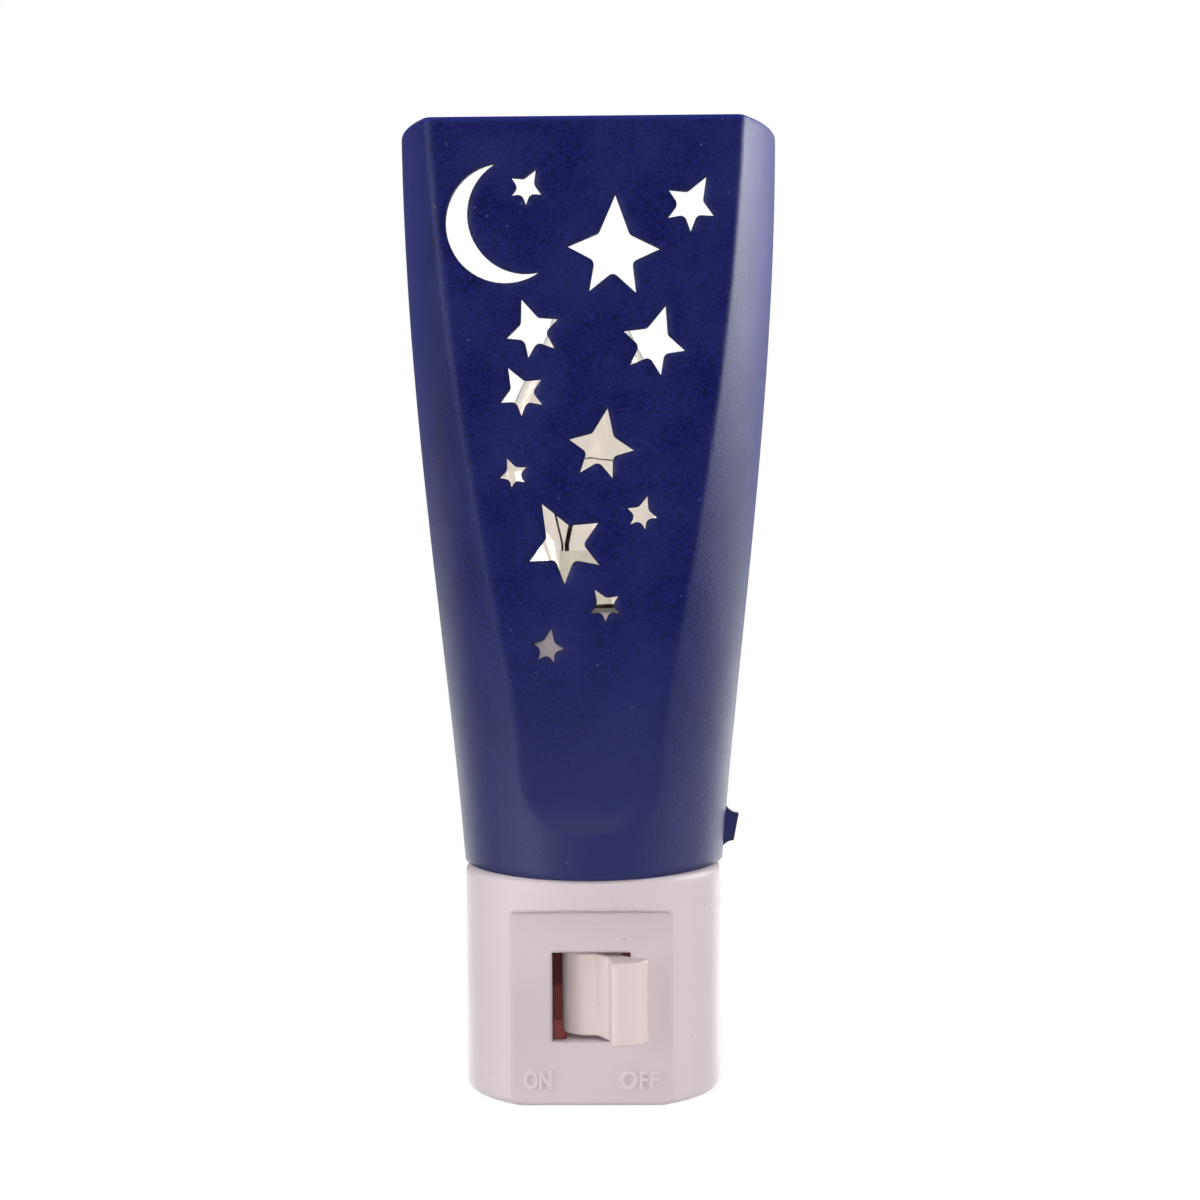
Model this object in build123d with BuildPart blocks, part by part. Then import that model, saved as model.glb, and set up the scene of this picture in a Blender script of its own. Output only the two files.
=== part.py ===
"""Plug-in night light with a pierced shade over a small candelabra lamp.

All sizes are in millimetres. The origin is on the wall face, midway between the two plug blades.
X runs to the right as the light is seen from the room, Y into the wall, Z up.
Most places are given as x, as a depth from the lamp's axis (positive towards the wall)
and as a height above the underside of the base.
"""

import os
from math import cos, degrees, radians, sin, sqrt, tan

from build123d import *

os.makedirs("parts", exist_ok=True)

# Clearances shared by all pieces
overrun = 1.0
running_gap = 0.3
seat_gap = 0.05

# Base: a D-shaped box, half round in front and flat against the wall
base_radius = 15.0
axis_depth = 13.5
base_height = 26.3
base_wall = 1.8
base_round = 0.8
cover_thickness = 2.5
rim_wall = 1.0
rim_depth = 1.5

# Flat panel let into the round front, with the window of the switch
panel_inset = 3.2
panel_wall = 1.6
panel_height = 22.2
lip_slope = 12.0
window_width = 9.0
window_height = 10.3
window_rise = 7.3

# Shade: a bowed shell with a flat front that ends in a scoop above the foot
shade_height = 85.3
shade_wall = 1.3
shade_rear = 6.0
shade_overhang = 0.5
crown_half_width = 22.1
crown_reach = 38.9
facet_lean = 3.86
scoop_rise = 11.2
scoop_radius = 8.1
scoop_sweep = 80.0
crease_round = 1.2
rim_round = 0.35
ear_rise = 0.2
ear_height = 6.4
ear_flare = 1.3
ear_inset = 0.3
ear_thickness = 1.5

# Sections of the bowed shell from foot to crown: shares of the height, and of the way that
# the half width and the reach go from their size at the foot to their size at the crown
section_shares = (
    (0.0, 0.0, 0.0),
    (0.29, 0.36, 0.11),
    (0.51, 0.65, 0.35),
    (0.8, 0.93, 0.72),
    (1.0, 1.0, 1.0),
)

# Stars: shares of the facet's half width at the crown (across), of the shade's height (up)
# and of that half width again (radius), then how far the first tip is turned clockwise
star_shares = (
    (-0.37, 0.909, 0.11, 30),
    (0.18, 0.826, 0.295, 2),
    (0.665, 0.885, 0.168, 30),
    (-0.335, 0.7245, 0.176, -20),
    (0.43, 0.707, 0.205, 18),
    (-0.41, 0.644, 0.15, -29),
    (0.09, 0.572, 0.209, 10),
    (-0.47, 0.538, 0.091, -22),
    (-0.145, 0.444, 0.253, -29),
    (0.347, 0.484, 0.098, 18),
    (0.108, 0.363, 0.105, -32),
    (-0.26, 0.308, 0.108, 10),
)
star_round = 0.7

# Corners of a star from its long first tip clockwise, tips and inner corners by turns:
# shares of a full turn and of the star's radius
star_corner_shares = (
    (0.0, 1.2),
    (0.115, 0.5),
    (0.238, 1.0),
    (0.327, 0.46),
    (0.416, 1.0),
    (0.5, 0.44),
    (0.584, 1.0),
    (0.673, 0.46),
    (0.762, 1.0),
    (0.885, 0.5),
)

# Crescent: shares of the same sizes for the disc, then for the disc that bites into it
moon_share = (-0.504, 0.8635, 0.376)
moon_bite_share = (-0.375, 0.8738, 0.366)

# Collar that the shade slips over, and the tube that holds the lamp socket
collar_height = 8.2
collar_gap = 0.6
collar_wall = 1.5
tube_radius = 9.0
tube_height = 21.8
web_rise = 2.0
ledge_rise = 4.5
ledge_width = 1.15

# Switch lever: a drum on two trunnions, with an arm that flares into a bowed knob
lever_inset = 4.8
lever_gap = 0.4
lever_swing = 29.0
drum_radius = 3.5
arm_half_width = 1.2
arm_reach = 6.3
arm_round = 0.3
waist_round = 2.0
knob_half_width = 2.4
knob_reach = 9.3
knob_bulge = 0.9
knob_round = 0.5
lever_round = 0.25
trunnion_radius = 1.3
trunnion_length = 1.4
lug_thickness = 1.8
lug_half_width = 3.0
lug_wall = 1.5

# Plug blades, as on a two-blade polarized plug
plug_rise = 17.0
blade_spacing = 12.7
blade_thickness = 1.5
blade_length = 17.5
line_blade_width = 6.35
neutral_blade_width = 7.94
blade_tip_bevel = 1.2
blade_hole_radius = 1.6
blade_hole_reach = 11.9
blade_shoulder = 1.2
blade_inner_length = 6.0

# Contact strips, rivets and the insulating plate inside the base
strip_thickness = 0.4
strip_width = 4.0
leaf_gap = 0.25
leaf_end = 0.5
leaf_rise = 10.0
leg_back = 9.0
riser_back = 1.4
riser_height = 30.0
inlay_depth = 0.5
inlay_height = 3.4
inlay_half_angle = 25.0
plate_thickness = 0.8
rivet_radius = 0.8
rivet_head_radius = 1.3
rivet_head_height = 0.5
rivet_inset = 1.5

# Lamp socket
shell_wall = 0.5
shell_gap = 0.3
shell_rim_drop = 0.8
tail_half_width = 1.5
contact_lift = 2.0
contact_half_width = 2.2
contact_toe = 1.4
contact_leg_drop = 10.5
contact_depth = 3.0

# Lamp
cap_radius = 5.9
cap_wall = 0.4
cap_length = 15.4
cap_bevel = 1.2
cap_contact_radius = 2.2
cap_contact_height = 1.0
insulator_height = 1.4
insulator_radius = 4.4
glass_wall = 0.6
neck_radius = 5.2
neck_length = 5.6
belly_radius = 10.75
belly_rise = 14.4
cheek_radius = 6.8
cheek_rise = 28.2
brow_radius = 4.7
brow_rise = 32.6
tip_rise = 36.2
stem_flare_radius = 4.4
stem_radius = 2.4
stem_flare_height = 3.7
stem_height = 8.2
press_half_width = 3.7
press_thickness = 2.2
press_height = 4.0
wire_root = 0.8
wire_bend = 0.5
lead_radius = 0.28
support_radius = 0.13
filament_radius = 0.12

wire_height = 10.0

# Wires over the press: shares of its half width where they leave it and at their tip,
# then the share of the wires' height that they rise
lead_shares = ((-0.757, -0.459, 0.63), (0.838, 0.757, 0.63))
support_shares = ((-0.905, -1.459, 1.0), (0.959, 1.2, 1.0))

# Case screws
screw_radius = 1.05
screw_length = 9.0
screw_head_radius = 2.2
screw_head_height = 1.1
boss_radius = 2.6
boss_sink = 0.2
counterbore_depth = 1.4

# Sizes worked out from the ones above
parting = axis_depth - cover_thickness
inner_radius = base_radius - base_wall
cavity_top = base_height - base_wall
panel_depth = base_radius - panel_inset
panel_inside = panel_depth - panel_wall
lever_axis = panel_depth - lever_inset
shade_top = base_height + shade_height
foot_half_width = base_radius + shade_overhang
foot_reach = shade_rear + base_radius
collar_top = base_height + collar_height
collar_half_width = foot_half_width - shade_wall - collar_gap
collar_reach = foot_reach - shade_wall - collar_gap
collar_front = panel_depth - shade_wall - collar_gap
tube_top = collar_top + tube_height
web_bottom = collar_top - collar_wall
web_top = collar_top + web_rise
ledge_top = web_top + ledge_rise
shell_inner_radius = cap_radius + shell_gap
shell_radius = shell_inner_radius + shell_wall
socket_radius = shell_radius + seat_gap
well_radius = socket_radius - ledge_width
blade_x = blade_spacing / 2
strip_outside = blade_x - blade_thickness / 2
strip_inside = strip_outside - strip_thickness
leaf_front = -lever_axis + drum_radius + leaf_gap
leaf_back = leaf_front + strip_thickness
lamp_foot = web_top + contact_lift + running_gap
cap_foot = lamp_foot + cap_contact_height + insulator_height
cap_top = cap_foot + cap_length
press_top = cap_top - neck_length + stem_height + press_height
lever_height = window_height - 2 * lever_gap
lever_foot = window_rise + lever_gap
screw_side = inner_radius + boss_sink - boss_radius
screw_rise = base_wall + boss_radius - boss_sink


def facet_depth(height):
    """How far in front of the lamp's axis the shade's flat front lies at a height."""
    return panel_depth + (height - base_height) * tan(radians(facet_lean))


facet_half_width = crown_half_width * sqrt(1 - ((shade_rear + facet_depth(shade_top)) / crown_reach) ** 2)

wall_spread = section_shares[1][1] * (crown_half_width - foot_half_width)
wall_lean = wall_spread / (section_shares[1][0] * shade_height)
ear_half_width = foot_half_width + wall_lean * (ear_rise + ear_height / 2)
ear_lean = wall_lean * ear_height / 2


def level(height):
    """Plane across the lamp's axis at a height, drawn as x and depth."""
    return Plane((0, -axis_depth, height - plug_rise))


def front(depth):
    """Upright plane facing the room at a depth, drawn as x and height."""
    return Plane((0, depth - axis_depth, -plug_rise), x_dir=(1, 0, 0), z_dir=(0, -1, 0))


def side(x):
    """Upright plane facing right, drawn as depth and height."""
    return Plane((x, -axis_depth, -plug_rise), x_dir=(0, 1, 0), z_dir=(1, 0, 0))


def lever_plan(height):
    """Plane across the lever's axis, turned with the lever to its OFF place."""
    turn = radians(lever_swing)
    origin = (0, -axis_depth - lever_axis, height - plug_rise)
    return Plane(origin, x_dir=(cos(turn), sin(turn), 0), z_dir=(0, 0, 1))


def save(piece, name):
    """Label a finished piece and write it."""
    piece.part.label = name
    export_step(piece.part, f"parts/{name}.step")


def d_outline(radius, back):
    """Half circle in front of the lamp's axis with straight sides back to a depth."""
    with BuildLine() as outline:
        CenterArc((0, 0), radius, 180, 180)
        Polyline((radius, 0), (radius, back), (-radius, back), (-radius, 0))
    make_face(outline.edges())


def bow_outline(half_width, reach, run):
    """Half ellipse in front of the shade's rear plane, its sides running on behind it."""
    corners = [(half_width, shade_rear)]
    if run > 0:
        corners += [(half_width, shade_rear + run), (-half_width, shade_rear + run)]
    corners.append((-half_width, shade_rear))
    with BuildLine() as outline:
        EllipticalCenterArc((0, shade_rear), half_width, reach, 180, arc_size=180)
        Polyline(*corners)
    make_face(outline.edges())


def angle_outline(outside, back, front_edge, end):
    """L-shaped strip in plan: a leg along the depth, then a leaf across to x = end."""
    inward = -strip_thickness if outside > 0 else strip_thickness
    with BuildLine() as outline:
        Polyline(
            (outside, back),
            (outside, front_edge),
            (end, front_edge),
            (end, front_edge + strip_thickness),
            (outside + inward, front_edge + strip_thickness),
            (outside + inward, back),
            close=True,
        )
    make_face(outline.edges())


def inlay_outline(gap):
    """Segment of the drum that the moving contact fills, with a gap round it."""
    spread = inlay_half_angle + degrees(gap / drum_radius)
    start = 90 + lever_swing - spread
    with BuildLine() as outline:
        outer = CenterArc((0, 0), drum_radius + gap, start, 2 * spread)
        inner = CenterArc((0, 0), drum_radius - inlay_depth - gap, start, 2 * spread)
        Line(outer @ 0, inner @ 0)
        Line(outer @ 1, inner @ 1)
    make_face(outline.edges())


def section_size(shares, inset):
    """Height, half width and reach of one section of the shade, drawn in by an inset."""
    up, across, forward = shares
    half_width = foot_half_width + across * (crown_half_width - foot_half_width) - inset
    reach = foot_reach + forward * (crown_reach - foot_reach) - inset
    return base_height + up * shade_height, half_width, reach


def scoop_cut(inset):
    """Side outline of all that lies in front of the flat and the scoop, moved in by an inset."""
    lean = radians(facet_lean)
    scoop_height = base_height + scoop_rise
    top = shade_top + 2 * overrun
    start = (inset * cos(lean) - facet_depth(scoop_height), scoop_height + inset * sin(lean))
    with BuildLine() as outline:
        flat = Line((inset / cos(lean) - facet_depth(top), top), start)
        scoop = JernArc(start, flat % 1, scoop_radius + inset, -scoop_sweep)
        Polyline(scoop @ 1, (-2 * crown_reach, (scoop @ 1).Y), (-2 * crown_reach, top), flat @ 0)
    make_face(outline.edges())


def star_points(radius):
    """Corners of a star whose first tip points up."""
    points = []
    for around, reach in star_corner_shares:
        turn = radians(360 * around)
        points.append((reach * radius * sin(turn), reach * radius * cos(turn)))
    return points


def share_place(shares):
    """Place on the shade's front, in x and height, from shares of its size."""
    return shares[0] * facet_half_width, base_height + shares[1] * shade_height


# Front housing: base box, collar and lamp tube in one moulding
with BuildPart() as front_housing:
    with BuildSketch(level(0)):
        d_outline(base_radius, parting)
    extrude(amount=base_height)
    parting_edges = front_housing.faces().sort_by(Axis.Y)[-1].edges()
    rounded = front_housing.edges().group_by(Axis.Z)[0] + front_housing.edges().group_by(Axis.Z)[-1]
    fillet(rounded - parting_edges, base_round)
    with BuildSketch(level(base_height)):
        bow_outline(collar_half_width, collar_reach, parting - shade_rear)
        with Locations((0, -collar_front)):
            Rectangle(2 * base_radius, 2 * base_radius, align=(Align.CENTER, Align.MAX), mode=Mode.SUBTRACT)
    extrude(amount=collar_height)
    with BuildSketch(level(collar_top)):
        Circle(tube_radius)
    extrude(amount=tube_height)
    # flat panel with its sloping upper lip
    with BuildSketch(side(-base_radius - overrun)):
        far = base_radius + overrun
        with BuildLine():
            Polyline(
                (-panel_depth, -overrun),
                (-panel_depth, panel_height),
                (-far, panel_height + (far - panel_depth) * tan(radians(lip_slope))),
                (-far, -overrun),
                close=True,
            )
        make_face()
    extrude(amount=2 * (base_radius + overrun), mode=Mode.SUBTRACT)
    # hollow of the base, open at the back
    with BuildSketch(level(base_wall)):
        d_outline(inner_radius, parting + overrun)
        with Locations((0, -panel_inside)):
            Rectangle(2 * base_radius, 2 * base_radius, align=(Align.CENTER, Align.MAX), mode=Mode.SUBTRACT)
    extrude(amount=cavity_top - base_wall, mode=Mode.SUBTRACT)
    # hollow of the collar, closed at its back
    with BuildSketch(level(cavity_top - overrun)):
        collar_run = parting - shade_rear - collar_wall
        bow_outline(collar_half_width - collar_wall, collar_reach - collar_wall, collar_run)
        with Locations((0, -collar_front + collar_wall)):
            Rectangle(2 * base_radius, 2 * base_radius, align=(Align.CENTER, Align.MAX), mode=Mode.SUBTRACT)
    extrude(amount=web_bottom - cavity_top + overrun, mode=Mode.SUBTRACT)
    # socket bore with a ledge for the screw shell, and a well below it for the centre contact
    with BuildSketch(level(ledge_top)):
        Circle(socket_radius)
    extrude(amount=tube_top - ledge_top + overrun, mode=Mode.SUBTRACT)
    with BuildSketch(level(web_top)):
        Circle(well_radius)
    extrude(amount=ledge_rise + overrun, mode=Mode.SUBTRACT)
    # slots for the tail of the shell and the leg of the centre contact
    with BuildSketch(level(web_bottom - overrun)):
        with Locations((0, shell_radius - shell_wall)):
            Rectangle(2 * (tail_half_width + running_gap), 2 * shell_wall + seat_gap)
    extrude(amount=ledge_top - web_bottom + 2 * overrun, mode=Mode.SUBTRACT)
    with BuildSketch(level(web_bottom - overrun)):
        with Locations((-strip_inside + strip_thickness / 2, 0)):
            Rectangle(strip_thickness + 2 * running_gap, contact_depth + 2 * running_gap)
    extrude(amount=web_top - web_bottom + 2 * overrun, mode=Mode.SUBTRACT)
    # lugs behind the panel that carry the lever's trunnions
    for lug_foot in (window_rise - lug_thickness, window_rise + window_height):
        lug_back = lug_wall + trunnion_radius - lever_axis
        with BuildSketch(level(lug_foot)):
            with Locations((0, lug_back)):
                lug_run = lug_back + panel_inside + panel_wall / 2
                Rectangle(2 * lug_half_width, lug_run, align=(Align.CENTER, Align.MAX))
        extrude(amount=lug_thickness)
        with BuildSketch(level(lug_foot)):
            with Locations((0, -lever_axis)):
                Circle(trunnion_radius + seat_gap)
        extrude(amount=lug_thickness, mode=Mode.SUBTRACT)
    # window of the switch
    with BuildSketch(front(-panel_inside + overrun)):
        with Locations((0, window_rise)):
            Rectangle(window_width, window_height, align=(Align.CENTER, Align.MIN))
    extrude(amount=panel_wall + 2 * overrun, mode=Mode.SUBTRACT)
    # screw bosses along the side walls and the floor, up to the parting plane
    boss_front = sqrt(base_radius**2 - (inner_radius + boss_sink) ** 2) - base_wall / 2
    with BuildSketch(front(parting)):
        with Locations((-screw_side, screw_rise), (screw_side, screw_rise)):
            Circle(boss_radius)
    extrude(amount=parting + boss_front)
    with BuildSketch(front(parting)):
        with Locations((-screw_side, screw_rise), (screw_side, screw_rise)):
            Circle(screw_radius + seat_gap)
    extrude(amount=screw_length, mode=Mode.SUBTRACT)

# Back cover: the flat of the base against the wall, with slots for the blades
with BuildPart() as back_cover:
    with BuildSketch(front(parting)):
        with Locations((0, base_height / 2)):
            Rectangle(2 * base_radius, base_height)
    extrude(amount=-cover_thickness)
    fillet(back_cover.edges().filter_by(Axis.Y), base_round)
    fillet(back_cover.faces().sort_by(Axis.Y)[-1].edges(), base_round)
    # rim that centres the cover in the housing
    with BuildSketch(front(parting)):
        rim_height = cavity_top - base_wall - 2 * seat_gap
        rim_width = 2 * (inner_radius - seat_gap)
        with Locations((0, (cavity_top + base_wall) / 2)):
            Rectangle(rim_width, rim_height)
            Rectangle(rim_width - 2 * rim_wall, rim_height - 2 * rim_wall, mode=Mode.SUBTRACT)
        with Locations((-screw_side, screw_rise), (screw_side, screw_rise)):
            Circle(boss_radius + running_gap, mode=Mode.SUBTRACT)
            corner = boss_radius + running_gap
            Rectangle(2 * corner, 2 * corner, mode=Mode.SUBTRACT)
    extrude(amount=rim_depth)
    # slots for the blades
    with BuildSketch(front(parting)):
        for x, width in ((-blade_x, neutral_blade_width), (blade_x, line_blade_width)):
            with Locations((x, plug_rise)):
                Rectangle(blade_thickness + 2 * seat_gap, width + 2 * seat_gap)
    extrude(amount=-cover_thickness - overrun, mode=Mode.SUBTRACT)
    for x in (-screw_side, screw_side):
        with Locations(Plane((x, 0, screw_rise - plug_rise), x_dir=(1, 0, 0), z_dir=(0, 1, 0))):
            CounterBoreHole(
                radius=screw_radius + seat_gap,
                counter_bore_radius=screw_head_radius + seat_gap,
                counter_bore_depth=counterbore_depth,
                depth=cover_thickness + overrun,
            )

# Case screws, heads sunk in the cover
with BuildPart() as case_screws:
    head_seat = axis_depth - counterbore_depth
    with BuildSketch(front(head_seat)):
        with Locations((-screw_side, screw_rise), (screw_side, screw_rise)):
            Circle(screw_head_radius)
    extrude(amount=-screw_head_height)
    with BuildSketch(front(head_seat)):
        with Locations((-screw_side, screw_rise), (screw_side, screw_rise)):
            Circle(screw_radius)
    extrude(amount=screw_length)


def plug_blade(x, width):
    """One plug blade with its shoulders inside the base, its bevelled tip and its holes."""
    with BuildPart() as blade:
        half = width / 2
        tip = axis_depth + blade_length
        wide = half + blade_shoulder
        inner = parting - blade_inner_length
        with BuildSketch(side(x - blade_thickness / 2)):
            with BuildLine():
                Polyline(
                    (inner, plug_rise - wide),
                    (parting, plug_rise - wide),
                    (parting, plug_rise - half),
                    (tip - blade_tip_bevel, plug_rise - half),
                    (tip, plug_rise - half + blade_tip_bevel),
                    (tip, plug_rise + half - blade_tip_bevel),
                    (tip - blade_tip_bevel, plug_rise + half),
                    (parting, plug_rise + half),
                    (parting, plug_rise + wide),
                    (inner, plug_rise + wide),
                    close=True,
                )
            make_face()
            with Locations((axis_depth + blade_hole_reach, plug_rise)):
                Circle(blade_hole_radius, mode=Mode.SUBTRACT)
            with Locations((leg_back - rivet_inset, plug_rise)):
                Circle(rivet_radius + seat_gap, mode=Mode.SUBTRACT)
        extrude(amount=blade_thickness)
    return blade


blade_line = plug_blade(blade_x, line_blade_width)
blade_neutral = plug_blade(-blade_x, neutral_blade_width)

# Line contact: from the line blade forward to the back of the drum
with BuildPart() as line_contact:
    leaf_foot = leaf_rise - strip_width / 2
    with BuildSketch(level(leaf_foot)):
        angle_outline(strip_outside, leg_back, leaf_front, leaf_end)
    extrude(amount=plug_rise + strip_width / 2 - leaf_foot)
    with BuildSketch(side(0)):
        with Locations((leg_back - rivet_inset, plug_rise)):
            Circle(rivet_radius + seat_gap)
    extrude(amount=blade_x, mode=Mode.SUBTRACT)

# Lamp contact: from the back of the drum to a riser beside the collar
with BuildPart() as lamp_contact:
    with BuildSketch(level(leaf_foot)):
        angle_outline(-strip_outside, riser_back, leaf_front, -leaf_end)
    extrude(amount=strip_width)
    with BuildSketch(side(-strip_outside)):
        with Locations(((riser_back - contact_depth), leaf_foot)):
            Rectangle(contact_depth, riser_height - leaf_foot, align=(Align.MIN, Align.MIN))
    extrude(amount=strip_thickness)
    with BuildSketch(side(-strip_outside - overrun)):
        with Locations((riser_back - contact_depth / 2, riser_height - rivet_inset)):
            Circle(rivet_radius + seat_gap)
    extrude(amount=strip_thickness + 2 * overrun, mode=Mode.SUBTRACT)

# Neutral strip: from the neutral blade across to the tail of the screw shell
tail_front = shell_inner_radius - seat_gap - shell_wall / 2
with BuildPart() as neutral_strip:
    strip_foot = plug_rise - strip_width / 2
    with BuildSketch(level(strip_foot)):
        angle_outline(-strip_outside, leg_back, tail_front - strip_thickness, tail_half_width)
    extrude(amount=strip_width)
    with BuildSketch(side(-blade_x)):
        with Locations((leg_back - rivet_inset, plug_rise)):
            Circle(rivet_radius + seat_gap)
    extrude(amount=blade_thickness + strip_thickness, mode=Mode.SUBTRACT)
    with BuildSketch(front(tail_front + overrun)):
        with Locations((0, plug_rise)):
            Circle(rivet_radius + seat_gap)
    extrude(amount=strip_thickness + 2 * overrun, mode=Mode.SUBTRACT)

# Screw shell of the socket, with a tail down to the neutral strip
with BuildPart() as socket_shell:
    with BuildSketch(level(ledge_top)):
        Circle(shell_radius)
        Circle(shell_inner_radius, mode=Mode.SUBTRACT)
    extrude(amount=tube_top - shell_rim_drop - ledge_top)
    with BuildSketch(front(tail_front + shell_wall)):
        with Locations((0, plug_rise - strip_width / 2)):
            tail_length = ledge_top + overrun - strip_foot
            Rectangle(2 * tail_half_width, tail_length, align=(Align.CENTER, Align.MIN))
        with Locations((0, plug_rise)):
            Circle(rivet_radius + seat_gap, mode=Mode.SUBTRACT)
    extrude(amount=shell_wall)
    with BuildSketch(level(ledge_top - overrun)):
        Circle(shell_inner_radius)
    extrude(amount=tube_top - ledge_top, mode=Mode.SUBTRACT)

# Centre contact: a bowed leaf under the lamp's tip and a leg down to the lamp contact
with BuildPart() as centre_contact:
    leg_x = -strip_inside
    leaf_top = web_top + contact_lift
    leg_foot = web_top - contact_leg_drop
    with BuildSketch(front(contact_depth / 2)):
        with BuildLine():
            Polyline(
                (leg_x, leg_foot),
                (leg_x, web_top + strip_thickness),
                (-contact_half_width, leaf_top),
                (contact_half_width, leaf_top),
                (contact_half_width + contact_toe, web_top + strip_thickness),
                (contact_half_width + contact_toe, web_top),
                (contact_half_width, leaf_top - strip_thickness),
                (-contact_half_width, leaf_top - strip_thickness),
                (leg_x + strip_thickness, web_top),
                (leg_x + strip_thickness, leg_foot),
                close=True,
            )
        make_face()
    extrude(amount=contact_depth)
    with BuildSketch(side(leg_x - overrun)):
        with Locations((riser_back - contact_depth / 2, riser_height - rivet_inset)):
            Circle(rivet_radius + seat_gap)
    extrude(amount=strip_thickness + 2 * overrun, mode=Mode.SUBTRACT)

# Rivets that join the strips to the blades and to each other
with BuildPart() as strip_rivets:
    blade_rivet = (leg_back - rivet_inset - axis_depth, 0)
    tail_rivet = (tail_front - strip_thickness - axis_depth, 0)
    riser_rivet = (riser_back - contact_depth / 2 - axis_depth, riser_height - rivet_inset - plug_rise)
    grips = (
        (Plane((strip_inside, *blade_rivet), z_dir=(1, 0, 0)), blade_thickness + strip_thickness),
        (Plane((-strip_inside, *blade_rivet), z_dir=(-1, 0, 0)), blade_thickness + strip_thickness),
        (Plane((-strip_outside, *riser_rivet), z_dir=(1, 0, 0)), 2 * strip_thickness),
        (Plane((0, *tail_rivet), z_dir=(0, 1, 0)), strip_thickness + shell_wall),
    )
    for grip_plane, grip in grips:
        with BuildSketch(grip_plane):
            Circle(rivet_head_radius)
        extrude(amount=-rivet_head_height)
        with BuildSketch(grip_plane):
            Circle(rivet_radius)
        extrude(amount=grip)
        with BuildSketch(grip_plane.offset(grip)):
            Circle(rivet_head_radius)
        extrude(amount=rivet_head_height)

# Insulating plate behind the switch
with BuildPart() as fibre_plate:
    with BuildSketch(front(leaf_back + seat_gap + plate_thickness)):
        with Locations((0, base_wall)):
            plate_width = 2 * (strip_inside - running_gap)
            Rectangle(plate_width, cavity_top - base_wall, align=(Align.CENTER, Align.MIN))
    extrude(amount=plate_thickness)

# Switch lever
with BuildPart() as switch_lever:
    with BuildSketch(lever_plan(lever_foot)) as lever_outline:
        Circle(drum_radius)
        with BuildLine():
            left = (-knob_half_width, -knob_reach)
            right = (knob_half_width, -knob_reach)
            ThreePointArc(left, (0, -knob_reach - knob_bulge), right)
            Polyline(
                right,
                (arm_half_width, -arm_reach),
                (arm_half_width, 0),
                (-arm_half_width, 0),
                (-arm_half_width, -arm_reach),
                left,
            )
        make_face()
        # the corners where the arm leaves the drum, then its waist, then the knob's edges
        fillet(lever_outline.vertices().sort_by(Axis.Y)[4:6], arm_round)
        fillet(lever_outline.vertices().sort_by(Axis.Y)[2:4], waist_round)
        fillet(lever_outline.vertices().sort_by(Axis.Y)[:2], knob_round)
    extrude(amount=lever_height)
    fillet(switch_lever.faces().filter_by(Axis.Z).edges(), lever_round)
    for trunnion_foot in (lever_foot - lever_gap - trunnion_length, lever_foot + lever_height):
        with BuildSketch(lever_plan(trunnion_foot)):
            Circle(trunnion_radius)
        extrude(amount=lever_gap + trunnion_length)
    with BuildSketch(lever_plan(leaf_rise - inlay_height / 2 - seat_gap)):
        inlay_outline(seat_gap)
    extrude(amount=inlay_height + 2 * seat_gap, mode=Mode.SUBTRACT)

# Moving contact let into the drum
with BuildPart() as moving_contact:
    with BuildSketch(lever_plan(leaf_rise - inlay_height / 2)):
        inlay_outline(0)
    extrude(amount=inlay_height)

# Lamp cap with its insulator and tip
with BuildPart() as cap_contact:
    with BuildSketch(level(lamp_foot)):
        Circle(cap_contact_radius)
    extrude(amount=cap_contact_height)
    fillet(cap_contact.faces().sort_by(Axis.Z)[0].edges(), cap_contact_height / 2)

with BuildPart() as cap_insulator:
    with BuildSketch(level(lamp_foot + cap_contact_height)):
        Circle(cap_contact_radius)
    with BuildSketch(level(cap_foot)):
        Circle(insulator_radius)
    loft()

with BuildPart() as bulb_cap:
    with BuildSketch(side(0)):
        with BuildLine():
            Polyline(
                (0, cap_foot),
                (insulator_radius, cap_foot),
                (cap_radius, cap_foot + cap_bevel),
                (cap_radius, cap_top),
                (cap_radius - cap_wall, cap_top),
                (cap_radius - cap_wall, cap_foot + cap_bevel),
                (insulator_radius - cap_wall, cap_foot + cap_wall),
                (0, cap_foot + cap_wall),
                close=True,
            )
        make_face()
    revolve(axis=Axis((0, -axis_depth, 0), (0, 0, 1)))


def glass_profile(inset, drop):
    """Half section of the lamp's glass, drawn in by an inset and run down by a drop."""
    neck_foot = cap_top - neck_length - drop
    with BuildLine() as outline:
        Line((0, neck_foot), (neck_radius - inset, neck_foot))
        neck = Line((neck_radius - inset, neck_foot), (neck_radius - inset, cap_top))
        bowl = Spline(
            neck @ 1,
            (belly_radius - inset, cap_top + belly_rise),
            (cheek_radius - inset, cap_top + cheek_rise),
            (brow_radius - inset, cap_top + brow_rise),
            (0, cap_top + tip_rise - inset),
            tangents=[(0, 1), (-1, 0)],
        )
        Line(bowl @ 1, (0, neck_foot))
    make_face(outline.edges())


# Lamp glass, open at the neck where the cap closes it
with BuildPart() as bulb_glass:
    with BuildSketch(side(0)):
        glass_profile(0, 0)
    revolve(axis=Axis((0, -axis_depth, 0), (0, 0, 1)))
    with BuildSketch(side(0)):
        glass_profile(glass_wall, overrun)
    revolve(axis=Axis((0, -axis_depth, 0), (0, 0, 1)), mode=Mode.SUBTRACT)

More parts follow.
